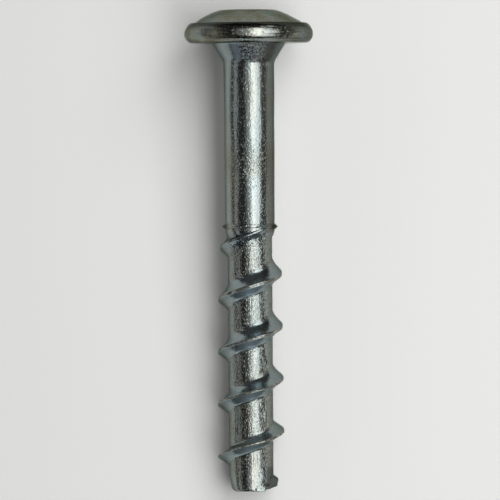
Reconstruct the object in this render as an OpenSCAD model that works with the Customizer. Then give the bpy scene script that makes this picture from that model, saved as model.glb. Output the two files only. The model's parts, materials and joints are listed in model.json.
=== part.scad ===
// Concrete screw with a pan head and a six-lobe drive, lying as it comes to rest.
// Millimetres, +Z up. The head points along +Y, and the thread starts on the +X side.
// Each module works along its own axis: the head up, the bearing face at height 0.

/* [Head] */
// Widest diameter of the head, over its rounded rim
head_d = 14.4; // [12:0.1:18]
// Height of the head above its bearing face
head_h = 3.7; // [3.2:0.05:5]
// Height of the widest line of the rim above the bearing face
rim_z = 1; // [0.7:0.02:1.02]
// Radius of the rim below its widest line
rim_r = 1.02; // [1:0.02:1.4]
// Radius of the rim above its widest line
rim_side_r = 1.45; // [1.3:0.05:1.8]
// Radius of the edge between the rim and the ledge inside it
rim_edge_r = 0.2; // [0.1:0.05:0.4]
// Widest line of the rim to the outer end of the ledge, across the axis
rim_w = 0.76; // [0.6:0.02:1]
// Width of the flat ledge at the foot of the dome
ledge_w = 0.36; // [0.2:0.02:0.6]
// Diameter of the flat on top of the dome
top_flat_d = 6.2; // [6:0.1:8]

/* [Drive] */
// Six-lobe recess across opposite lobes
drive_d = 5.6; // [5.2:0.05:5.9]
// Six-lobe recess across opposite flutes
drive_in_d = 3.95; // [3.6:0.05:4.3]
// Depth of the straight walls of the recess
drive_depth = 2.5; // [1.5:0.1:2.8]
// Depth of the cone below the straight walls
drive_cone = 0.7; // [0.3:0.1:0.9]

/* [Neck and shank] */
// Diameter of the neck where it meets the bearing face
neck_d = 8.3; // [7:0.1:10]
// Length of the tapered neck
neck_l = 2.2; // [1:0.05:4]
// Shank diameter below the neck
shank_d = 5.66; // [5.4:0.02:6.1]
// Shank diameter at the ears
shank_end_d = 5.54; // [5.3:0.02:6]
// Bearing face to the start of the ears
shank_l = 20.1; // [12:0.1:26]
// Width over the two ears that the rolling raised at the sides of the shank
ear_d = 6.25; // [6.1:0.05:6.8]
// Width of an ear along the axis
ear_w = 0.72; // [0.4:0.02:1.2]
// Distance of an ear's centre from the axis, which makes it fade to the front and back
ear_out = 0.4; // [0.2:0.05:0.6]
// Length of the shoulder from the ears down to the core
shoulder_l = 1.1; // [0.7:0.1:1.6]
// Fall of the shoulder over its first half
shoulder_fall = 0.12; // [0.05:0.01:0.2]

/* [Thread] */
// Bearing face to the end of the tip
length = 50; // [44:0.5:60]
// Core diameter between the threads
core_d = 4.95; // [4.5:0.05:5.2]
// Thread diameter near the tip
thread_d = 7.6; // [6.8:0.05:8.2]
// Thread diameter at the last turn below the ears
thread_top_d = 7.05; // [6.6:0.05:8]
// Advance of the thread in one turn
pitch = 5.84; // [5:0.02:7]
// Width of the thread at its root near the tip, fillets included
root_w = 2.5; // [2:0.05:3]
// Width of the thread at its root below the ears, fillets included
root_top_w = 3.3; // [2.4:0.05:3.8]
// Width of the crest
crest_w = 0.22; // [0.14:0.01:0.4]
// Height of the thread start above the end of the tip
start_z = 0.95; // [0.6:0.05:1.6]

/* [Tip] */
// Diameter of the tapered core at its end
tip_d = 4.3; // [3.6:0.05:4.6]
// Length of the taper
tip_l = 1.9; // [1.5:0.1:4]
// Broken edge around the cut end
tip_edge = 0.35; // [0.2:0.05:0.6]

/* [Hidden] */
zinc = [0.62, 0.64, 0.63];
round_fn = 96;

// The rim has one arc below its widest line, one above, and a small one at the ledge.
// They touch each other, and the dome is an arc from the ledge to the flat.
rim_at = head_d / 2 - rim_r;
side_at = head_d / 2 - rim_side_r;
edge_at = head_d / 2 - rim_w;
edge_way = rim_side_r - rim_edge_r;
edge_rise = sqrt(edge_way ^ 2 - (edge_at - side_at) ^ 2);
ledge_z = rim_z + edge_rise + rim_edge_r;
side_top = rim_z + edge_rise * rim_side_r / edge_way;
dome_end = edge_at - ledge_w;
top_r = top_flat_d / 2;
dome_z = (head_h ^ 2 + top_r ^ 2 - ledge_z ^ 2 - dome_end ^ 2) / (2 * (head_h - ledge_z));
dome_r = norm([head_h - dome_z, top_r]);

// Six lobes and six flutes that touch each other, in the proportions of the standard recess
lobe_r = 0.081 * drive_d;
lobe_at = drive_d / 2 - lobe_r;
flute_foot = drive_in_d / 2 - lobe_r;
flute_at = (lobe_at ^ 2 - flute_foot ^ 2) / (2 * (lobe_at * cos(30) - flute_foot));
flute_r = flute_at - drive_in_d / 2;
flute_way = [flute_at * cos(30) - lobe_at, flute_at * sin(30)];
hub_r = norm([lobe_at, 0] + lobe_r * flute_way / norm(flute_way)) + 0.02;
recess_z = head_h - drive_depth;
overlap = 0.05;

// The thread is counted in turns from its start on the +X side
steps = 48;
start_at = start_z - length;
ear_end = -shank_l - ear_w;
ear_peak = -shank_l - ear_w / 2;
ear_flat = 0.12;
ear_turn = (ear_peak - start_at) / pitch;
rise_from = -1.2;
rise_to = 0.52;
rise_power = 3;
fall_from = ear_turn - 0.47;
fall_to = ear_turn + 0.08;

// One pitch of the thread's section: offset in crest widths, offset in half root
// widths, and share of the height. The first row runs midway between two turns.
section = [
    [0, 0, 0],
    [0, -1, 0],
    [0, -0.77, 0.12],
    [0, -0.52, 0.32],
    [-0.9, 0, 0.9],
    [-0.5, 0, 1],
    [0.5, 0, 1],
    [0.9, 0, 0.9],
    [0, 0.52, 0.32],
    [0, 0.77, 0.12],
    [0, 1, 0]
];
rows = len(section);
body_top = 1 - shank_l;
body_end = tip_edge - length;
snap = 0.04;
turns = ceil((body_top - start_at) / pitch) + 1;
row_count = rows * (turns + 2);
last_row = row_count - rows - 2;

function clamp(x) = min(max(x, 0), 1);
function ease(x) = let (s = clamp(x)) s * s * (3 - 2 * s);
function along(t, a, b) = a + (b - a) * clamp(t / fall_from);

// Height of the thread at turn t, growing from a low start and running out at the ears
function ridge(t) =
    (along(t, thread_d, thread_top_d) - core_d) / 2
    * clamp((t - rise_from) / (rise_to - rise_from)) ^ rise_power
    * (1 - ease((t - fall_from) / (fall_to - fall_from)));

function offset_of(row, t) =
    row[0] * crest_w + row[1] * along(t, root_w, root_top_w) / 2;

function core_r(z) = (tip_d + (core_d - tip_d) * clamp((z + length) / tip_l)) / 2;

// Radius of the threaded body at angle step i and height z
function body_r(i, z) =
    let (turn = (z - start_at) / pitch - i / steps)
    let (k = round(turn), t = k + i / steps)
    let (heights = [for (n = [1 : rows - 1]) [offset_of(section[n], t), section[n][2]]])
    core_r(z) + ridge(t) * lookup((turn - k) * pitch, heights);

// Height of row q of the grid at angle step i
function row_z(i, q) =
    let (n = q % rows, t = floor(q / rows) - 1 + i / steps)
    start_at + pitch * t + (n == 0 ? -pitch / 2 : offset_of(section[n], t));

function polar(i, r, z) = [r * cos(360 * i / steps), r * sin(360 * i / steps), z];

// Three rings close the grid: at the broken edge, at the end and inside the shank
grid = row_count * steps;
function ring(n, i) = grid + n * steps + i % steps;
tip_centre = grid + 3 * steps;

// Index of a grid point, or of the ring that it falls beyond
function at(i, q) =
    i == steps ? at(0, q + rows)
    : row_z(i, q) < body_end + snap ? ring(0, i)
    : row_z(i, q) > body_top - snap ? ring(2, i)
    : q * steps + i;

function whole(f) = f[0] != f[1] && f[1] != f[2] && f[0] != f[2];

round_steps = [0 : steps - 1];
body_points = concat(
    [for (q = [0 : row_count - 1], i = round_steps)
        let (z = row_z(i, q)) polar(i, body_r(i, z), z)],
    [for (i = round_steps) polar(i, body_r(i, body_end), body_end)],
    [for (i = round_steps) polar(i, tip_d / 2 - tip_edge, -length)],
    [for (i = round_steps) polar(i, core_d / 2, body_top)],
    [[0, 0, -length], [0, 0, body_top]]
);
body_faces = concat(
    [for (q = [0 : last_row], i = round_steps)
        let (a = at(i, q), b = at(i + 1, q), c = at(i + 1, q + 1), d = at(i, q + 1))
        for (f = [[a, c, b], [a, d, c]]) if (whole(f)) f],
    [for (i = round_steps) [ring(1, i), ring(0, i), ring(0, i + 1)]],
    [for (i = round_steps) [ring(1, i), ring(0, i + 1), ring(1, i + 1)]],
    [for (i = round_steps) [ring(1, i), ring(1, i + 1), tip_centre]],
    [for (i = round_steps) [ring(2, i + 1), ring(2, i), tip_centre + 1]]
);

// At rest the rim and the lowest crest touch the floor, which gives the axis its lean
function crest_lean(t) =
    let (drop = rim_at - (core_d / 2 + ridge(t)) * sin(360 * t))
    let (reach = rim_z - start_at - pitch * t + crest_w / 2)
    atan(drop / reach) + asin(rim_r / norm([drop, reach]));
low_side = [steps / 8 : 3 * steps / 8];
lean = min([for (k = [0 : 2], i = low_side) crest_lean(k + i / steps)]);

// The origin is on the floor, below the middle of the length
lift = rim_at * cos(lean) + rim_r - rim_z * sin(lean);
head_y = head_h * cos(lean) + top_r * sin(lean);
tip_y = -length * cos(lean) - (tip_d / 2 - tip_edge) * sin(lean);

module six_lobe() {
    difference() {
        union() {
            circle(r = hub_r, $fn = round_fn);
            for (k = [0 : 5]) {
                rotate(60 * k) translate([lobe_at, 0]) circle(r = lobe_r, $fn = 24);
            }
        }
        for (k = [0 : 5]) {
            rotate(60 * k + 30) translate([flute_at, 0]) circle(r = flute_r, $fn = 48);
        }
    }
}

module recess() {
    translate([0, 0, recess_z]) linear_extrude(drive_depth + 1) six_lobe();
    translate([0, 0, recess_z - drive_cone])
        cylinder(h = drive_cone + overlap, r1 = 0.2, r2 = 0.47 * drive_in_d, $fn = round_fn);
}

module head_half() {
    intersection() {
        translate([0, dome_z]) circle(r = dome_r, $fn = 2 * round_fn);
        translate([0, rim_z]) square([dome_end, head_h - rim_z]);
    }
    square([rim_at, rim_z]);
    translate([0, rim_z]) square([edge_at, ledge_z - rim_z]);
    intersection() {
        translate([rim_at, rim_z]) circle(r = rim_r, $fn = round_fn);
        square([head_d, rim_z]);
    }
    intersection() {
        translate([side_at, rim_z]) circle(r = rim_side_r, $fn = round_fn);
        translate([0, rim_z]) square([head_d, side_top - rim_z]);
    }
    intersection() {
        translate([edge_at, ledge_z - rim_edge_r]) circle(r = rim_edge_r, $fn = round_fn / 2);
        translate([0, side_top]) square([head_d, head_h]);
    }
}

module shank_half() {
    polygon([
        [0, rim_z],
        [neck_d / 2, rim_z],
        [neck_d / 2, 0],
        [shank_d / 2, -neck_l],
        [shank_end_d / 2, -shank_l],
        [shank_end_d / 2, ear_end],
        [shank_end_d / 2 - shoulder_fall, ear_end - shoulder_l / 2],
        [core_d / 2 - 4 * overlap, ear_end - shoulder_l],
        [0, ear_end - shoulder_l]
    ]);
}

module ear() {
    foot_r = shank_end_d / 2 - ear_out - overlap;
    peak_r = ear_d / 2 - ear_out;
    rotate_extrude($fn = round_fn)
        polygon([
            [0, -shank_l],
            [foot_r, -shank_l],
            [peak_r, ear_peak + ear_flat / 2],
            [peak_r, ear_peak - ear_flat / 2],
            [foot_r, ear_end],
            [0, ear_end]
        ]);
}

module headed_blank() {
    difference() {
        rotate_extrude($fn = round_fn) {
            head_half();
            shank_half();
        }
        recess();
    }
}

module screw() {
    color(zinc)
        translate([0, -(head_y + tip_y) / 2, lift])
        rotate([lean - 90, 0, 0])
        union() {
            headed_blank();
            for (side = [-1, 1]) translate([side * ear_out, 0, 0]) ear();
            polyhedron(points = body_points, faces = body_faces, convexity = 10);
        }
}

screw();
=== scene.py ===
import bpy
import json
import math
import numpy as np
from mathutils import Matrix, Vector

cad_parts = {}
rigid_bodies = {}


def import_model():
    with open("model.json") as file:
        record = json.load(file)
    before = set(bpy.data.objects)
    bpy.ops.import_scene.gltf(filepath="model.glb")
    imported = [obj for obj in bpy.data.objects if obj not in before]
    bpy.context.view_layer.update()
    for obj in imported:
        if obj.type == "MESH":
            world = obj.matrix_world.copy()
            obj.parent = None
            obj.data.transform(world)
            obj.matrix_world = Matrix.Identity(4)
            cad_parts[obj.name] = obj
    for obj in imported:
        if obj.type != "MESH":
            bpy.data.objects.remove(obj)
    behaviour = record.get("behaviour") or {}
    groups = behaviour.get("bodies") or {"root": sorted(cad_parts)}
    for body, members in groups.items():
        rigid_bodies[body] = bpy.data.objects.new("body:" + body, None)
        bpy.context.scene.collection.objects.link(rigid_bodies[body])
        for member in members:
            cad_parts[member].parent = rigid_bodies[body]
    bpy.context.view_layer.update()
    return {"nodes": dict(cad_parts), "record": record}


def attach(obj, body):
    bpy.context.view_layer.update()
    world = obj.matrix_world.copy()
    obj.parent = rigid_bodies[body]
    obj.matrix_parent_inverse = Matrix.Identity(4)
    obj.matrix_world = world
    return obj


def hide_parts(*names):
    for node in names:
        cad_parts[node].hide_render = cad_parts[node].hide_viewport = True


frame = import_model()
mm = 0.001
driveMount = next(mount for mount in frame["record"]["mounts"] if mount["name"] == "drive_recess")
screwAxis = Vector(driveMount["axis"])
lean = math.atan2(screwAxis.z, screwAxis.y)        # how far the axis rises off the floor, towards the head
print("frame loaded:", sorted(frame["nodes"]))


def clearSelection():
    if bpy.context.object and bpy.context.object.mode != "OBJECT":
        bpy.ops.object.mode_set(mode="OBJECT")
    bpy.ops.object.select_all(action="DESELECT")


def pickOnly(piece):
    clearSelection()
    piece.select_set(True)
    bpy.context.view_layer.objects.active = piece


def drawChain(name, points):                       # a vertex, extruded from point to point in the XZ plane
    clearSelection()
    bpy.ops.mesh.primitive_plane_add(size=mm)
    piece = bpy.context.object
    piece.name = name
    bpy.ops.object.mode_set(mode="EDIT")
    bpy.ops.mesh.merge(type="CENTER")
    bpy.ops.transform.translate(value=(points[0][0] * mm, 0, points[0][1] * mm))
    for (x0, z0), (x1, z1) in zip(points, points[1:]):
        step = ((x1 - x0) * mm, 0, (z1 - z0) * mm)
        bpy.ops.mesh.extrude_region_move(TRANSFORM_OT_translate={"value": step})
    return piece


def closeMesh(within=0.002):                       # in edit mode: points this close, in mm, become one
    bpy.ops.mesh.select_all(action="SELECT")
    bpy.ops.mesh.remove_doubles(threshold=within * mm)
    bpy.ops.mesh.normals_make_consistent(inside=False)


def readPoints(piece):                             # the mesh's points in mm
    flat = np.empty(len(piece.data.vertices) * 3, np.float32)
    piece.data.vertices.foreach_get("co", flat)
    return flat.reshape(-1, 3).astype(float) / mm


def readNormals(piece):
    flat = np.empty(len(piece.data.vertices) * 3, np.float32)
    piece.data.vertex_normals.foreach_get("vector", flat)
    return flat.reshape(-1, 3).astype(float)


def writePoints(piece, points):
    piece.data.vertices.foreach_set("co", (points * mm).astype(np.float32).ravel())
    piece.data.update()


def polar(points):                                 # angle round the axis, and distance from it
    return np.arctan2(points[:, 1], points[:, 0]), np.hypot(points[:, 0], points[:, 1])


def setRadius(points, radius):
    angle, _ = polar(points)
    points[:, 0], points[:, 1] = radius * np.cos(angle), radius * np.sin(angle)


def useModifier(piece, kind, **settings):
    pickOnly(piece)
    modifier = piece.modifiers.new(kind.lower(), kind)
    for key, value in settings.items():
        setattr(modifier, key, value)
    bpy.ops.object.modifier_apply(modifier=modifier.name)


def arc(centre, radius, fromDeg, toDeg, steps):
    angles = np.radians(np.linspace(fromDeg, toDeg, steps + 1))
    return [(centre[0] + radius * math.cos(a), centre[1] + radius * math.sin(a)) for a in angles]


def fillet(before, corner, after, radius, steps=6):   # a quadratic curve in place of a corner
    b, c, a = (np.array(p, float) for p in (before, corner, after))
    start = c + (b - c) / np.linalg.norm(b - c) * radius
    end = c + (a - c) / np.linalg.norm(a - c) * radius
    return [tuple((1 - t) ** 2 * start + 2 * t * (1 - t) * c + t * t * end)
            for t in np.linspace(0, 1, steps + 1)]


def ease(x):
    x = np.clip(x, 0, 1)
    return x * x * (3 - 2 * x)


def bell(x, half):
    return np.exp(-(x / half) ** 2)


def fadeIn(x, start, over):                        # 0 up to the start, 1 from the end of the fade
    return ease((x - start) / over)


def spot(x, middle, half):
    return bell(x - middle, half)


def wander(t, seed, slowest=0.8, tones=7, ratio=1.7, weakest=0.4, fade=0.35, spread=2.6):
    rng = np.random.default_rng(seed)              # a smooth curve, about -1..1
    total = np.zeros_like(t)
    for k in range(tones):
        phase = rng.random()
        strength = rng.uniform(weakest, 1)
        total += np.sin(2 * np.pi * (slowest * ratio ** k * t + phase)) * strength / (1 + fade * k)
    return total / spread


def mottle(points, seed, longest, shortest, waves=26):   # waves through space, lengths in mm, rms 1
    rng = np.random.default_rng(seed)
    total = np.zeros(len(points))
    for k in range(waves):
        way = rng.normal(size=3)
        way /= np.linalg.norm(way) * longest * (shortest / longest) ** rng.random()
        total += np.sin(2 * np.pi * (points @ way + rng.random()))
    return total * math.sqrt(2 / waves)


# sizes are in mm along the screw's own axis: head up, bearing face at 0, the camera on the -Y side
head = {
    "radius": 7.175, "height": 3.69, "mountHeight": 3.7,
    "flatRows": (0, 1.2, 2.2), "flatRadius": 3.1, "flatEdge": 0.3, "flatEdgeSteps": 5,
    "domeSteps": 18, "domeSkip": 3,                # the flat's edge replaces the dome's first points
    "domeAside": -0.1, "asideFrom": (2.25, 0.6),   # the dome was struck off centre
    "ledge": 0.36, "valley": 0.06, "valleySteps": 3,
    "rimHeight": 0.97, "rimWidth": 0.76, "rimEdge": 0.2, "rimEdgeSteps": 5,
    "rimSide": 1.45, "rimSideSteps": 26, "rimLow": 1.02, "rimLowSteps": 18,
    "bearingRows": (5.9, 5.4, 5.0),
}


def headProfile(h, neck):                          # dome, ledge, rim and bearing face
    rimAt, sideAt, edgeAt = (h["radius"] - h[key] for key in ("rimLow", "rimSide", "rimWidth"))
    rise = math.sqrt((h["rimSide"] - h["rimEdge"]) ** 2 - (edgeAt - sideAt) ** 2)
    turn = math.degrees(math.atan2(rise, edgeAt - sideAt))
    ledgeHeight = h["rimHeight"] + rise + h["rimEdge"]
    foot, top = (edgeAt - h["ledge"], ledgeHeight), (h["flatRadius"], h["height"])
    domeZ = (top[1] ** 2 + top[0] ** 2 - foot[1] ** 2 - foot[0] ** 2) / (2 * (top[1] - foot[1]))
    domeFrom, domeTo = (math.degrees(math.atan2(p[1] - domeZ, p[0])) for p in (top, foot))
    dome = arc((0, domeZ), math.hypot(top[0], top[1] - domeZ), domeFrom, domeTo, h["domeSteps"])
    dome = dome[h["domeSkip"]:]
    points = [(x, top[1]) for x in h["flatRows"]]
    points += fillet(points[-1], top, dome[0], h["flatEdge"], h["flatEdgeSteps"])
    points += dome[:-1]
    points += fillet(dome[-2], foot, (edgeAt, ledgeHeight), h["valley"], h["valleySteps"])
    points += arc((edgeAt, ledgeHeight - h["rimEdge"]), h["rimEdge"], 90, turn, h["rimEdgeSteps"])
    points += arc((sideAt, h["rimHeight"]), h["rimSide"], turn, 0, h["rimSideSteps"])[1:]
    lowest = -math.degrees(math.asin(h["rimHeight"] / h["rimLow"]))
    points += arc((rimAt, h["rimHeight"]), h["rimLow"], 0, lowest, h["rimLowSteps"])[1:]
    points += [(x, 0) for x in h["bearingRows"]]
    neckTop, neckFoot = (neck["neckRadius"], 0), (neck["radius"], -neck["neckLength"])
    points += fillet(points[-1], neckTop, neckFoot, neck["neckFillet"])
    return points


shank = {
    "neckRadius": 4.15, "neckFillet": 0.2, "neckLength": 2.12, "footFillet": 0.45, "footSteps": 10,
    "neckRows": (0.12, 0.78, 20),                  # shares of the slope, ended above the fillet at its foot
    "radius": 2.83, "endRadius": 2.77, "length": 20.1, "step": 0.45, "gapAbove": 0.2, "gapBelow": 0.35,
    "gougeTop": -10.35, "gougeFoot": -11.2, "gougeStep": 0.06, "earTop": -19.9, "earStep": 0.035,
    "earReach": 3.12, "earOut": 0.4, "earWidth": 0.72, "earRound": 0.035, "earSunk": 0.05, "earGap": 0.02,
    "dieLines": (-20.27, -20.6), "dieDepth": 0.035, "dieWidth": 0.045,
    "fall": 0.12, "fallLength": 1.1, "fallShares": (0.25, 0.5, 0.75, 1), "buried": 0.2, "segments": 224,
}


def shankProfile(s, core):                         # neck, shank and the fall to the core below the ears
    neckTop, foot = np.array((s["neckRadius"], 0.0)), np.array((s["radius"], -s["neckLength"]))
    points = [tuple(neckTop + (foot - neckTop) * share) for share in np.linspace(*s["neckRows"])]
    points += fillet(points[-1], foot, (s["endRadius"], -s["length"]), s["footFillet"], s["footSteps"])
    earEnd = -s["length"] - s["earWidth"]
    heights = np.concatenate([                     # rows lie close together at the gouge and at the ears
        np.arange(points[-1][1] - s["step"], s["gougeTop"] + s["gapAbove"], -s["step"]),
        np.arange(s["gougeTop"], s["gougeFoot"], -s["gougeStep"]),
        np.arange(s["gougeFoot"] - s["gapBelow"], s["earTop"] + s["gapAbove"], -s["step"]),
        np.arange(s["earTop"], earEnd, -s["earStep"]),
    ])
    share = np.clip((heights - foot[1]) / (-s["length"] - foot[1]), 0, 1)
    points += list(zip(s["radius"] + (s["endRadius"] - s["radius"]) * share, heights))
    points.append((s["endRadius"], earEnd - s["earGap"]))
    for share in s["fallShares"]:
        points.append((s["endRadius"] - s["fall"] * share, earEnd - s["fallLength"] / 2 * share))
    points += [(core - s["buried"], earEnd - s["fallLength"]), (0, earEnd - s["fallLength"])]
    return points


def raiseEars(points, s):                          # a low disc at each side, with two die lines
    z = points[:, 2]
    angle, radius = polar(points)
    halfWidth = s["earWidth"] / 2
    off = np.hypot(z + s["length"] + halfWidth, s["earRound"]) - s["earRound"]
    peak, foot = s["earReach"] - s["earOut"], s["endRadius"] - s["earOut"] - s["earSunk"]
    disc = peak - (peak - foot) * off / halfWidth
    reach = np.sqrt(np.maximum(disc ** 2 - (s["earOut"] * np.sin(angle)) ** 2, 0))
    ear = s["earOut"] * np.abs(np.cos(angle)) + reach
    lines = sum(spot(z, line, s["dieWidth"]) for line in s["dieLines"]) * s["dieDepth"]
    setRadius(points, np.where(off < halfWidth, np.maximum(radius - lines, ear), radius))


def makeBlank():                                   # the headed and turned part, down to the core
    profile = headProfile(head, shank) + shankProfile(shank, thread["coreRadius"])
    blank = drawChain("screw_body", profile)
    bpy.ops.mesh.select_all(action="SELECT")
    bpy.ops.mesh.spin(steps=shank["segments"], angle=2 * math.pi, center=(0, 0, 0), axis=(0, 0, 1))
    closeMesh()
    bpy.ops.object.mode_set(mode="OBJECT")
    points = readPoints(blank)
    raiseEars(points, shank)
    points[:, 0] += head["domeAside"] * fadeIn(points[:, 2], *head["asideFrom"])
    writePoints(blank, points)
    print("blank:", len(blank.data.polygons), "faces")
    return blank


thread = {                                         # sizes in mm, places along the helix in turns
    "coreRadius": 2.475, "pitch": 5.84, "start": -49.05, "top": -19.3, "end": -49.949,
    "radius": 3.79, "topRadius": 3.525, "uneven": 0.012, "unevenSeed": 11, "unevenSlowest": 2.0,
    "headRoot": 1.87, "headRootDelay": 0.1, "tipRoot": 0.85, "tipRootGrowth": 0.2,
    "leastRoot": 0.85, "mostRoot": 1.25, "flankPower": 1.65, "crestBlend": 0.025,
    "crest": 0.05, "crestGrowth": 0.035, "mostCrest": 0.19, "startCrest": 0.3, "startCrestTurns": 0.1,
    "riseFrom": -1.2, "riseTo": 0.52, "risePower": 3, "startBump": 0.2, "startBumpTurns": 0.09,
    "fall": ((4.3, 1), (4.5, 0.83), (4.62, 0.6), (4.75, 0.43), (4.88, 0.38), (4.96, 0.27), (5.05, 0)),
    "lapFrom": (4.4, 0.25), "lapRoot": 0.72, "lapCrest": 0.6,   # the run-out is folded over
    "seamDepth": 0.07, "seamAt": 0.03, "seamWidth": 0.045, "seamSway": 0.02, "swaySeed": 5,
    "seamShare": 0.45, "shareSeed": 3,             # the seam along the crest comes and goes
    "lineDepth": 0.005, "linePitch": 0.21, "linesFrom": (0.1, 0.2), "linesTo": (-1.0, 0.3),
    "rootDepth": 0.008, "rootAt": 0.12, "rootWidth": 0.09,
    "tipRadius": 2.15, "tipLength": 1.9, "tipFront": 0.7, "tipFrontFrom": (0.3, 0.5),
    "tipFlat": 2.4, "tipFlatEdge": 0.03, "tipFlatAt": -74, "tipFlatReach": 0.5, "tipFlatFrom": (46.6, 2.2),
    "tipRound": 0.14, "tipChip": 0.3, "tipChipFrom": (0.5, 0.3),
    "crestRows": (0.6, 0.05), "flankRows": (1.7, 0.1), "coreRows": 12, "steps": 132, "turns": 8,
    "mergeWithin": 0.005, "cutMergeWithin": 0.0002, "cutThreshold": 1e-8,
}


def threadSection(s, off, t):                      # share of the thread's height, by offset from its crest
    lapped = fadeIn(t, *s["lapFrom"])
    headRoot = np.maximum(s["headRoot"] * (1 - np.exp(s["headRootDelay"] - t)), s["leastRoot"])
    headRoot = headRoot * (1 - s["lapRoot"] * lapped)
    tipRoot = np.clip(s["tipRoot"] + s["tipRootGrowth"] * t, s["leastRoot"], s["mostRoot"])
    crest = np.clip(s["crest"] + s["crestGrowth"] * t, s["crest"], s["mostCrest"])
    crest = crest * (1 - s["lapCrest"] * lapped) + s["startCrest"] * bell(t, s["startCrestTurns"])
    u = (np.abs(off) - crest) / (np.where(off > 0, headRoot, tipRoot) - crest)
    flank = np.clip(1 - u, 0, 2) ** s["flankPower"]
    blend = s["crestBlend"]                        # softens the edge between flank and crest
    share = -blend * np.log(np.exp(-flank / blend) + math.exp(-1 / blend))
    sway = s["seamSway"] * wander(t, s["swaySeed"])
    seam = s["seamDepth"] * bell(off - s["seamAt"] + sway, s["seamWidth"])
    seam = seam * ease(s["seamShare"] + wander(t, s["shareSeed"]))
    lines = s["lineDepth"] * np.sin(2 * np.pi * off / s["linePitch"])
    lines = lines * fadeIn(-off, *s["linesFrom"]) * fadeIn(off, *s["linesTo"])
    rootLine = s["rootDepth"] * bell(off - headRoot - s["rootAt"], s["rootWidth"])
    return np.where(u < 1, np.clip(share, 0, 1) - seam + lines, 0) - rootLine


def alongThread(s, angle, z):                      # turns along the helix, and the offset from its crest
    turn = (z - s["start"]) / s["pitch"] - angle / (2 * np.pi)
    nearest = np.round(turn)
    return nearest + angle / (2 * np.pi), (turn - nearest) * s["pitch"]


def coreRadius(s, angle, z):                       # the core, with a tip that the shears cut
    taper = np.clip((z - s["end"]) / s["tipLength"], 0, 1)
    drawnIn = s["coreRadius"] - s["tipRadius"]
    drawnIn = drawnIn * (1 - s["tipFront"] * fadeIn(-np.sin(angle), *s["tipFrontFrom"]))
    core = s["coreRadius"] - drawnIn * (1 - taper)
    aside = np.maximum(np.cos(angle - math.radians(s["tipFlatAt"])), s["tipFlatReach"])
    over = core - s["tipFlat"] / aside             # what stands out of the flat on the front
    flat = core - s["tipFlatEdge"] * np.logaddexp(0, over / s["tipFlatEdge"])
    core = core + (flat - core) * fadeIn(-z, *s["tipFlatFrom"])
    blunt = s["tipRound"] + s["tipChip"] * fadeIn(-np.cos(angle), *s["tipChipFrom"])   # rounder on the left
    left = np.clip(1 - (z - s["end"]) / blunt, 0, 1)
    return core - blunt * (1 - np.sqrt(1 - left ** 2))


def threadRadius(s, angle, z):
    t, off = alongThread(s, angle, z)
    grown = np.clip(t / s["fall"][0][0], 0, 1)
    full = s["radius"] + (s["topRadius"] - s["radius"]) * grown - s["coreRadius"]
    rise = np.clip((t - s["riseFrom"]) / (s["riseTo"] - s["riseFrom"]), 0, 1) ** s["risePower"]
    fall = np.interp(t, *zip(*s["fall"]))
    uneven = 1 + s["uneven"] * wander(t, s["unevenSeed"], s["unevenSlowest"])
    ridge = full * rise * fall * uneven + s["startBump"] * bell(t, s["startBumpTurns"])
    return coreRadius(s, angle, z) + ridge * threadSection(s, off, t)


def makeThread():                                  # a chain, one pitch long, is screwed up the axis
    s = thread
    (crestEnd, crestStep), (flankEnd, flankStep) = s["crestRows"], s["flankRows"]
    half = np.concatenate([
        np.arange(0, crestEnd, crestStep), np.arange(crestEnd, flankEnd, flankStep),
        np.linspace(flankEnd, s["pitch"] / 2, s["coreRows"]),
    ])
    rows = np.concatenate([-half[::-1], half[1:]])
    low = s["start"] - s["pitch"]
    body = drawChain("threaded_body", [(s["coreRadius"], low + z) for z in rows])
    bpy.ops.object.mode_set(mode="OBJECT")
    useModifier(body, "SCREW", axis="Z", angle=2 * math.pi, screw_offset=s["pitch"] * mm,
                iterations=s["turns"], steps=s["steps"], render_steps=s["steps"])
    bpy.ops.object.mode_set(mode="EDIT")
    closeMesh(s["mergeWithin"])
    bpy.ops.object.mode_set(mode="OBJECT")
    points = readPoints(body)
    angle, _ = polar(points)
    setRadius(points, threadRadius(s, angle, points[:, 2]))
    writePoints(body, points)
    bpy.ops.object.mode_set(mode="EDIT")
    for height, side in ((s["end"], "clear_inner"), (s["top"], "clear_outer")):
        bpy.ops.mesh.select_all(action="SELECT")
        bpy.ops.mesh.bisect(plane_co=(0, 0, height * mm), plane_no=(0, 0, 1), use_fill=True,
                            threshold=s["cutThreshold"], **{side: True})
    closeMesh(s["cutMergeWithin"])
    bpy.ops.object.mode_set(mode="OBJECT")
    print("threaded body:", len(body.data.polygons), "faces")
    return body


recess = {
    "lobe": 2.8, "flute": 1.975, "flutes": 6, "lobePower": 1.25, "segments": 144,
    "above": 0.5, "mouth": 0.14, "depth": 2.5,
    "floor": (0.05, 0.6), "cone": (0.7, 0.12),     # depth, and the share of the width that is left
}


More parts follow.
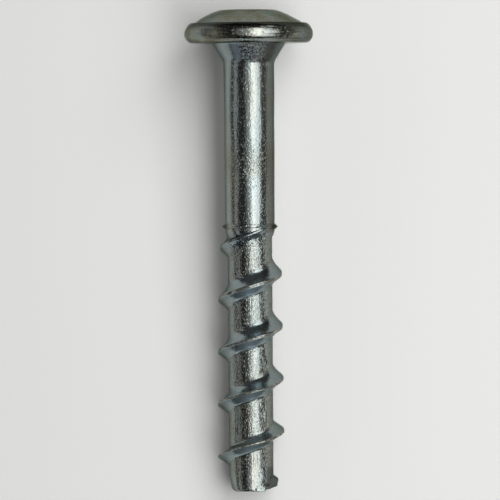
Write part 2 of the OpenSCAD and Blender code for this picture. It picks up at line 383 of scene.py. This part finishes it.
def makeRecessCutter(r):                           # a circle with flutes, extruded down to a cone
    clearSelection()
    bpy.ops.mesh.primitive_circle_add(vertices=r["segments"], radius=r["lobe"] * mm, fill_type="NGON",
                                      location=(0, 0, (head["height"] + r["above"]) * mm))
    cutter = bpy.context.object
    bpy.ops.object.transform_apply()
    points = readPoints(cutter)
    angle, _ = polar(points)
    wave = 0.5 + 0.5 * np.cos(r["flutes"] * angle)
    setRadius(points, r["flute"] + (r["lobe"] - r["flute"]) * wave ** r["lobePower"])
    writePoints(cutter, points)
    bpy.ops.object.mode_set(mode="EDIT")
    bpy.ops.mesh.select_all(action="SELECT")
    toMouth = r["above"] + r["mouth"]
    wide = 1 + toMouth / r["lobe"]                 # the mouth flares, so its edge is broken
    bpy.ops.transform.resize(value=(wide, wide, 1))
    for drop, scale in ((toMouth, 1 / wide), (r["depth"] - r["mouth"], 1), r["floor"], r["cone"]):
        bpy.ops.mesh.extrude_region_move(TRANSFORM_OT_translate={"value": (0, 0, -drop * mm)})
        bpy.ops.transform.resize(value=(scale, scale, 1))
    closeMesh()
    bpy.ops.object.mode_set(mode="OBJECT")
    return cutter


def joinSolids(piece, other, operation):
    useModifier(piece, "BOOLEAN", object=other, operation=operation, solver="MANIFOLD")
    bpy.data.objects.remove(other)


stretches = {                                      # fades: start, length; spots: middle, half width
    "head": (-0.06, 0.1), "rim": (6.1, 0.3), "neck": (-0.15, 0.25),
    "threaded": (20.9, 0.4), "tip": (46.9, 0.6),
    "raised": (0.03, 0.08), "high": (0.3, 0.2), "crest": (0.02, 0.085), "flankSide": (0, 0.2),
    "begun": (0.1, 0.2), "firstTurn": (-1.2, 0.2), "ended": (4.3, 0.2), "endedReach": 1.5,
    "lap": (0.16, 0.07), "lapEnd": (-4.95, 0.05), "ear": 0.25, "pitted": (-13.4, 1.6),
    "front": 0.45, "side": (0.75, 0.15), "right": (0.5, 0.3),
    "shankRightShade": (0.4, 0.28), "tipRightShade": (0.55, 0.2),
    "neckFrontGrainAndShade": (0.14, 0.36), "neckRightShade": (0.7, 0.24), "neckLeft": (-0.42, 0.14),
    "rimFront": (0.15, 0.4), "rimRightShade": (0.3, 0.4), "rimLeft": (-0.62, 0.2), "rimLeftFoot": (0.5, 0.4),
    "lappedLeft": (-0.34, 0.2), "lappedRight": (0.5, 0.25), "rimUnderShade": (0.47, 0.18), "rimUnderFront": 0.5,
    "rimUpperShade": (1.2, 0.4), "rimTopShade": (1.66, 0.22), "rimTopEnds": (0.55, 0.3), "rimTopFade": 0.6,
}


def zonesOf(points):                               # how far each point belongs to a zone, 0 to 1
    p = stretches
    z = points[:, 2]
    angle, radius = polar(points)
    across, lift = np.cos(angle), radius - thread["coreRadius"]
    turn, off = alongThread(thread, angle, z)
    onHead = fadeIn(z, *p["head"])
    rim = onHead * fadeIn(radius, *p["rim"])
    neck = (1 - onHead) * fadeIn(z + shank["neckLength"], *p["neck"])
    threaded, tip = fadeIn(-z, *p["threaded"]), fadeIn(-z, *p["tip"])
    plain = 1 - onHead - neck - threaded
    raised = fadeIn(lift, *p["raised"])
    flank = threaded * raised
    ended = threaded * fadeIn(turn, *p["ended"]) * (np.abs(off) < p["endedReach"])
    rimEnds = p["rimTopFade"] * fadeIn(np.abs(across), *p["rimTopEnds"])
    earHeight = shank["length"] + shank["earWidth"] / 2
    return {
        "dome": onHead - rim, "rim": rim, "neck": neck, "shank": plain, "core": threaded * (1 - raised),
        "flank": flank, "ended": ended, "tip": tip, "front": bell(across, p["front"]) * (np.sin(angle) < 0),
        # painted shade: the upper slope of the rim is darkened into a dark band above its bright band
        "rimTopShade": rim * fadeIn(z, *p["rimTopShade"]) * (1 - rimEnds),
        "rimUpperShade": rim * fadeIn(z, *p["rimUpperShade"]),
        # painted shade: the front of the rim's underside is darkened
        "rimUnderShade": rim * spot(z, *p["rimUnderShade"]) * bell(across, p["rimUnderFront"]),
        # painted shade: the rim's right side is darkened
        "rimFront": rim * spot(across, *p["rimFront"]), "rimRightShade": rim * fadeIn(across, *p["rimRightShade"]),
        "rimLeft": rim * spot(across, *p["rimLeft"]) * fadeIn(z, *p["rimLeftFoot"]),
        # the lapped sides of the rim: rolled streaks and grain, and a little painted shade
        "rimLappedAndShaded": rim * (spot(across, *p["lappedLeft"]) + spot(across, *p["lappedRight"])),
        # the neck's front: real grain and relief, with dark specks and painted shade that make it dark with
        # pale points
        "neckFrontGrainAndShade": neck * spot(across, *p["neckFrontGrainAndShade"]),
        # painted shade: the neck's right side is darkened
        "neckRightShade": neck * spot(across, *p["neckRightShade"]), "neckLeft": neck * spot(across, *p["neckLeft"]),
        # painted shade: the shank's right side is darker and warmer
        "shankRightShade": fadeIn(across, *p["shankRightShade"]) * plain, "pitted": spot(z, *p["pitted"]),
        "ear": bell(z + earHeight, p["ear"]) * fadeIn(np.abs(across), *p["side"]),
        "lap": ended * spot(off, *p["lap"]) * fadeIn(-turn, *p["lapEnd"]),
        "crest": threaded * spot(off, *p["crest"]) * fadeIn(lift, *p["high"]) * (1 - ended),
        "hazed": flank * fadeIn(-off, *p["flankSide"]) * fadeIn(turn, *p["begun"]) * (1 - ended),
        "runIn": flank * fadeIn(off, *p["flankSide"]) * fadeIn(-turn, *p["firstTurn"]),
        # painted shade: the threaded part is darkened on its right side, and a little on its left
        "right": fadeIn(across, *p["right"]) * threaded, "left": fadeIn(-across, *p["side"]) * threaded,
        # painted shade: the tip's right side is darkened
        "tipRightShade": tip * fadeIn(across, *p["tipRightShade"]),
    }


def blendZones(zones, amounts):
    return sum(zones[name] * amount for name, amount in amounts.items())


wear = {
    "waves": (                                     # seed, longest, shortest, squeeze, depth in each zone
        (21, 0.65, 0.28, (1, 1, 1), {"dome": 0.001, "rim": 0.003, "neckFrontGrainAndShade": 0.006, "shank": 0.0012,
                                     "core": 0.004, "flank": 0.0008}),
        (22, 4.5, 1.6, (1, 1, 0.45), {"shank": 0.009, "core": 0.004, "rim": 0.002}),
        (23, 0.7, 0.25, (0.12, 0.12, 1), {"rim": 0.006, "dome": 0.001}),
    ),
    "inward": 0.004,                               # makes room for the waves
    "marks": (                                     # across and along, half sizes, turn, depth
        ((0.78, -10.72), (0.3, 0.055), -25, 0.05),     # gouge in the shank
        ((0.10, -6.80), (0.12, 0.14), 0, 0.012),
        ((1.50, 1.08), (0.80, 0.10), 2, 0.05),         # dents along the rim
        ((2.82, 1.16), (0.30, 0.08), 8, 0.045),
        ((-2.55, 0.98), (0.70, 0.06), 1, 0.035),
        ((-1.05, 1.10), (0.55, 0.05), -3, 0.02),
        ((4.35, 0.95), (0.35, 0.10), 8, 0.03),
        ((-4.2, 1.05), (0.8, 0.08), -4, 0.02),
        ((1.36, -41.60), (0.20, 0.75), 8, 0.12),       # furrows in the core, between the thread's turns
        ((1.58, -35.60), (0.18, 0.85), 14, 0.11),
        ((0.42, -49.55), (0.06, 0.4), 8, 0.07),        # split at the cut end
    ),
    "shear": 0.24, "shearSide": (1.5, 0.12), "shearFrom": (49.3, 0.6),   # the cut end is higher at +X
}


def pressMarks(points, marks):                     # on the side that lies uppermost
    depth = np.zeros(len(points))
    for (x, z), (halfAcross, halfAlong), turn, deep in marks:
        c, s = math.cos(math.radians(turn)), math.sin(math.radians(turn))
        across, along = points[:, 0] - x, points[:, 2] - z
        depth += deep * bell(across * c + along * s, halfAcross) * bell(along * c - across * s, halfAlong)
    return np.where(points[:, 1] < 0, depth, 0)


def addWear(piece):
    points = readPoints(piece)
    zones = zonesOf(points)
    push = sum(blendZones(zones, depths) * mottle(points * squeeze, seed, longest, shortest)
               for seed, longest, shortest, squeeze, depths in wear["waves"])
    push = push - wear["inward"] - pressMarks(points, wear["marks"])
    points += readNormals(piece) * push[:, None]
    sheared = fadeIn(points[:, 0], *wear["shearSide"]) * fadeIn(-points[:, 2], *wear["shearFrom"])
    points[:, 2] += wear["shear"] * sheared
    writePoints(piece, points)


finish = {                                         # how strongly each zone has a texture, a film or painted shade
    "grain": {"dome": 0.22, "rim": 0.45, "rimLappedAndShaded": 0.15, "rimFront": -0.2, "neck": 0.2, "neckFrontGrainAndShade": 1.8,
              "neckLeft": -0.4, "shank": 0.38, "core": 0.5, "flank": 0.1, "ended": 0.2, "pitted": 0.35},
    "scratched": {"shank": 0.12, "core": 0.4, "neck": 0.1, "tip": -0.3},
    "rolled": {"dome": 0.1, "rim": 0.2, "rimLappedAndShaded": 0.65, "rimFront": -0.2},
    "specks": {"dome": 0.25, "rim": 0.22, "rimFront": -0.22, "neck": 0.1, "neckFrontGrainAndShade": 0.5, "shank": 0.08,
               "core": 0.3, "flank": 0.1, "ended": 0.15, "pitted": 0.15, "tip": -0.2},
    "blue": {"rimLeft": 0.7, "neck": 0.15, "neckLeft": 0.9, "shank": 0.1, "flank": 0.35, "crest": 0.4,
             "core": 0.1},
    "blueFront": {"flank": 0.1, "hazed": 0.5, "runIn": 0.3},
    "olive": {"dome": 0.9, "rim": 1, "rimFront": -0.8, "shank": 0.15, "core": 0.4, "pitted": 0.35,
              "shankRightShade": 0.3, "tipRightShade": -0.4},
    # dark: mostly painted shade, on the rim's upper slope, underside, right side and lapped sides, the
    # neck's front and right side, and the right and left sides of the shank, thread and tip
    "dark": {"dome": 0.12, "rimTopShade": 1, "rimUpperShade": 0.2, "rimLappedAndShaded": 0.15, "rimRightShade": 0.28,
             "rimUnderShade": 0.5, "neck": 0.12, "neckFrontGrainAndShade": 0.22, "neckRightShade": 0.8, "shankRightShade": 0.55,
             "ear": 0.8, "lap": 0.95, "right": 0.2, "left": 0.08, "tipRightShade": 0.55},
    "worn": {"crest": 1},
    "most": 2,
}


def markFinish(piece):                             # the material reads these as two colour attributes
    zones = zonesOf(readPoints(piece))
    layers = {
        "texture": [blendZones(zones, finish[name]) for name in ("grain", "scratched", "rolled", "specks")],
        "film": [blendZones(zones, finish[name]) for name in ("blue", "olive", "dark", "worn")],
    }
    layers["film"][0] += blendZones(zones, finish["blueFront"]) * zones["front"]
    pickOnly(piece)
    for name, amounts in layers.items():
        values = np.clip(np.stack(amounts, axis=1), 0, finish["most"]).astype(np.float32)
        bpy.ops.geometry.color_attribute_add(name=name, domain="POINT", data_type="FLOAT_COLOR")
        piece.data.color_attributes[name].data.foreach_set("color", values.ravel())


def layDown(piece):                                # the drive mount gives the axis and the place
    pickOnly(piece)
    piece.rotation_euler = (lean - math.pi / 2, 0, 0)
    piece.location = Vector(driveMount["pos_m"]) - screwAxis * head["mountHeight"] * mm
    bpy.ops.object.transform_apply(location=True, rotation=True, scale=True)


joined = {"mergeWithin": 0.001, "smoothAngle": 40}


def makeScrew():
    screw = makeBlank()
    joinSolids(screw, makeThread(), "UNION")
    joinSolids(screw, makeRecessCutter(recess), "DIFFERENCE")
    pickOnly(screw)
    bpy.ops.object.mode_set(mode="EDIT")
    closeMesh(joined["mergeWithin"])
    bpy.ops.object.mode_set(mode="OBJECT")
    addWear(screw)
    markFinish(screw)
    layDown(screw)
    bpy.ops.object.shade_smooth_by_angle(angle=math.radians(joined["smoothAngle"]))
    print("screw:", len(screw.data.polygons), "faces")
    return screw


def toLinear(hexColour):
    channels = [int(hexColour[k:k + 2], 16) / 255 for k in (1, 3, 5)]
    return [c / 12.92 if c <= 0.04045 else ((c + 0.055) / 1.055) ** 2.4 for c in channels] + [1]


def addNode(tree, kind, links=(), **settings):     # links: an input, and the output that it takes
    node = tree.nodes.new(kind)
    inputs = settings.pop("inputs", {})
    for key, value in settings.items():
        setattr(node, key, value)
    for key, value in inputs.items():
        node.inputs[key].default_value = value
    for key, output in links:
        tree.links.new(output, node.inputs[key])
    return node


def newMaterial(name):
    material = bpy.data.materials.new(name)
    material.use_nodes = True
    return material, material.node_tree.nodes["Principled BSDF"]


zinc = {
    "tints": ("#919E9F", "#9AA2A0", "#9D9F97"), "tintStops": (0.36, 0.5, 0.66),   # cool, plain, warm
    "worn": ("#675F52", "#A8A38E"), "wornStops": (0.45, 0.6),   # brown, and pale gold
    "blueFilm": "#7F9098", "oliveFilm": "#85826F", "shadeAndDarkFilm": "#42433F", "edgeTint": "#A9AEA8",
    "patterns": {                                  # sizes in mm with the axis along Y, and detail
        "streaks": ((0.8, 14, 0.8), 3),
        "grain": ((0.16, 0.16, 0.16), 1),          # finer in reality: as coarse as it needs to show
        "pits": ((0.26, 0.26, 0.26), 1),           # the same goes for the pits
        "patches": ((1.4, 1.4, 1.4), 3),
        "scratches": ((0.12, 3.0, 0.12), 1),
        "rolled": ((2.5, 0.16, 2.5), 2),
    },
    "ranges": {                                    # what each follows, then from two values to two others
        "patchy": ("patches", (0.35, 0.65, 0.3, 1)),
        "streaky": ("rolled", (0.48, 0.68, 0, 1)),
        "specked": ("pits", (0.5, 0.4, 0, 1)),     # darker in the pits: dirt, and painted shade
        "metallic": ("blueFilm", (0.35, 1, 1, 0.34)),   # the blue film is a little milky
        "sunk": ("pits", (0.6, 0.72, 0, -0.7)),
        "rough": ("streaks", (0.35, 0.65, 0.1, 0.2)),
    },
    "relief": 0.06,
}


# zinc electroplate on cold-formed steel: satin silver, blue and olive in places, with grain and pits, and
# painted shade in places
def zincPlate():
    material, shader = newMaterial("zinc_plated_steel")
    tree = material.node_tree
    coords = addNode(tree, "ShaderNodeTexCoord")
    inMm = addNode(tree, "ShaderNodeMapping", [("Vector", coords.outputs["Object"])],
                   inputs={"Rotation": (-lean, 0, 0), "Scale": (1 / mm, 1 / mm, 1 / mm)})
    texture = addNode(tree, "ShaderNodeAttribute", attribute_name="texture")
    film = addNode(tree, "ShaderNodeAttribute", attribute_name="film")
    specks, worn = texture.outputs["Alpha"], film.outputs["Alpha"]
    texture = addNode(tree, "ShaderNodeSeparateColor", [("Color", texture.outputs["Color"])])
    film = addNode(tree, "ShaderNodeSeparateColor", [("Color", film.outputs["Color"])])

    drawn = {"blueFilm": film.outputs["Red"]}
    for name, (sizes, detail) in zinc["patterns"].items():
        laid = addNode(tree, "ShaderNodeMapping", [("Vector", inMm.outputs["Vector"])],
                       inputs={"Scale": [1 / size for size in sizes]})
        noise = addNode(tree, "ShaderNodeTexNoise", [("Vector", laid.outputs["Vector"])],
                        inputs={"Scale": 1, "Detail": detail})
        drawn[name] = noise.outputs["Fac"]
    for name, (source, limits) in zinc["ranges"].items():
        share = addNode(tree, "ShaderNodeMapRange", [("Value", drawn[source])],
                        inputs=dict(zip(("From Min", "From Max", "To Min", "To Max"), limits)))
        drawn[name] = share.outputs["Result"]

    tint = addNode(tree, "ShaderNodeValToRGB", [("Fac", drawn["streaks"])])
    bare = addNode(tree, "ShaderNodeValToRGB", [("Fac", drawn["pits"])])   # the rubbed crest
    tint.color_ramp.elements.new(zinc["tintStops"][1])
    for ramp, places, colours in ((tint, "tintStops", "tints"), (bare, "wornStops", "worn")):
        for stop, place, stopColour in zip(ramp.color_ramp.elements, zinc[places], zinc[colours]):
            stop.position, stop.color = place, toLinear(stopColour)
    olive = addNode(tree, "ShaderNodeMath", [(0, film.outputs["Green"]), (1, drawn["patchy"])],
                    operation="MULTIPLY")
    # the dark layer: the painted shade and darker places listed under dark, with darker rolled streaks and
    # darker pits added
    dark = film.outputs["Blue"]
    for pattern, amount in (("streaky", texture.outputs["Blue"]), ("specked", specks)):
        added = addNode(tree, "ShaderNodeMath", [(0, drawn[pattern]), (1, amount), (2, dark)],
                        operation="MULTIPLY_ADD", use_clamp=True)
        dark = added.outputs["Value"]
    colour = tint.outputs["Color"]
    for layer, filmName in ((drawn["blueFilm"], "blueFilm"), (olive.outputs["Value"], "oliveFilm"),
                            (dark, "shadeAndDarkFilm")):
        mixed = addNode(tree, "ShaderNodeMixRGB", [("Fac", layer), ("Color1", colour)],
                        inputs={"Color2": toLinear(zinc[filmName])})
        colour = mixed.outputs["Color"]
    mixed = addNode(tree, "ShaderNodeMixRGB",
                    [("Fac", worn), ("Color1", colour), ("Color2", bare.outputs["Color"])])

    height = addNode(tree, "ShaderNodeMath", [(0, drawn["grain"]), (1, drawn["sunk"])], operation="ADD")
    height = addNode(tree, "ShaderNodeMath", [(0, height.outputs["Value"]), (1, texture.outputs["Red"])],
                     operation="MULTIPLY")
    for layer, name in (("Green", "scratches"), ("Blue", "rolled")):
        height = addNode(tree, "ShaderNodeMath",
                         [(0, drawn[name]), (1, texture.outputs[layer]), (2, height.outputs["Value"])],
                         operation="MULTIPLY_ADD")
    bump = addNode(tree, "ShaderNodeBump", [("Height", height.outputs["Value"])],
                   inputs={"Strength": 1, "Distance": zinc["relief"] * mm})
    shader.inputs["Specular Tint"].default_value = toLinear(zinc["edgeTint"])
    for socket, output in (("Base Color", mixed.outputs["Color"]), ("Metallic", drawn["metallic"]),
                           ("Roughness", drawn["rough"]), ("Normal", bump.outputs["Normal"])):
        tree.links.new(output, shader.inputs[socket])
    print("material:", len(tree.nodes), "nodes")
    return material


paper = {"colour": "#F8F8F6", "roughness": 0.9, "specular": 0.1, "size": 2000}


# matt paper sweep: near white, with hardly any gloss
def paleFloor():
    material, shader = newMaterial("pale_paper")
    shader.inputs["Base Color"].default_value = toLinear(paper["colour"])
    shader.inputs["Roughness"].default_value = paper["roughness"]
    shader.inputs["Specular IOR Level"].default_value = paper["specular"]
    return material


def layFloor():
    clearSelection()
    bpy.ops.mesh.primitive_plane_add(size=paper["size"] * mm)
    floor = bpy.context.object
    floor.name = "floor"
    floor.data.materials.append(paleFloor())


lamps = {                                          # angles from straight up, in degrees; sizes in mm
    "key": {"right": 28.2, "ahead": 2.5, "distance": 300, "size": (232, 570), "radiance": 2.12},
    "hot": {"right": 15.5, "ahead": -1.5, "distance": 290, "size": (105, 460), "radiance": 1.06},
    "key_edge": {"right": -6, "ahead": 9.5, "distance": 300, "size": (110, 452), "radiance": 0.5},
    "left_card": {"right": -63.5, "ahead": 0, "distance": 300, "size": (86, 500), "radiance": 0.56},
    "front_card": {"right": 0, "ahead": -84, "distance": 300, "size": (420, 50), "radiance": 1.5,
                   "colour": "#DDE8F2"},
    "right_card": {"right": 69, "ahead": 0, "distance": 300, "size": (183, 500), "radiance": 0.13},
    "low_strip": {"right": 85.5, "ahead": -4, "distance": 220, "size": (26, 70), "radiance": 2.2,
                  "along": -26},
}
room = {"colour": "#545250", "strength": 0.5}


def addLamp(name, lamp):
    right, ahead = math.radians(lamp["right"]), math.radians(lamp["ahead"])
    way = Vector((math.sin(right), math.sin(ahead) * math.cos(right), math.cos(right) * math.cos(ahead)))
    across = Vector((0, 1, 0)).cross(way).normalized()
    place = way * lamp["distance"] + Vector((0, lamp.get("along", 0), 0))
    clearSelection()
    bpy.ops.object.light_add(type="AREA", location=place * mm)
    light = bpy.context.object
    light.name = name
    light.rotation_euler = Matrix((across, way.cross(across), way)).transposed().to_euler()
    light.data.shape = "RECTANGLE"
    light.data.size, light.data.size_y = (side * mm for side in lamp["size"])
    light.data.energy = lamp["radiance"] * math.pi * light.data.size * light.data.size_y
    light.data.color = toLinear(lamp.get("colour", "#FFFFFF"))[:3]
    light.visible_camera = False


def lightRoom():
    for name, lamp in lamps.items():
        addLamp(name, lamp)
    world = bpy.context.scene.world or bpy.data.worlds.new("World")
    bpy.context.scene.world = world
    world.use_nodes = True
    background = world.node_tree.nodes["Background"]
    background.inputs["Color"].default_value = toLinear(room["colour"])
    background.inputs["Strength"].default_value = room["strength"]
    print("lamps:", len(lamps))


# the camera was fitted to the outline: pixels are those of the 500 by 500 image
view = {
    "aim": (0, 0, 7.18), "tilt": -3.9, "roll": 0.36, "distance": 707, "pixelsPerMm": 8.994,
    "aimPixel": (249.53, 248.43), "frameSize": 500,
}


def placeCamera(v):
    tilt, roll = math.radians(v["tilt"]), math.radians(v["roll"])
    back = Vector((0, math.sin(tilt), math.cos(tilt)))
    level = Vector((0, math.cos(tilt), -math.sin(tilt)))
    right = Vector((1, 0, 0)) * math.cos(roll) - level * math.sin(roll)
    up = Vector((1, 0, 0)) * math.sin(roll) + level * math.cos(roll)
    middle = (v["frameSize"] - 1) / 2
    aside = (v["aimPixel"][0] - middle) / v["pixelsPerMm"]
    above = (middle - v["aimPixel"][1]) / v["pixelsPerMm"]
    centre = Vector(v["aim"]) - right * aside - up * above
    bpy.ops.object.camera_add()
    camera = bpy.context.object
    turn = Matrix((right, up, back)).transposed().to_4x4()
    camera.matrix_world = Matrix.Translation((centre + back * v["distance"]) * mm) @ turn
    camera.data.lens = camera.data.sensor_width * v["distance"] * v["pixelsPerMm"] / v["frameSize"]
    bpy.context.scene.camera = camera


bpy.context.scene.view_settings.view_transform = "Standard"
screw = makeScrew()
screw.data.materials.clear()
screw.data.materials.append(zincPlate())
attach(screw, "root")
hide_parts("screw")
layFloor()
lightRoom()
placeCamera(view)
print("scene set")
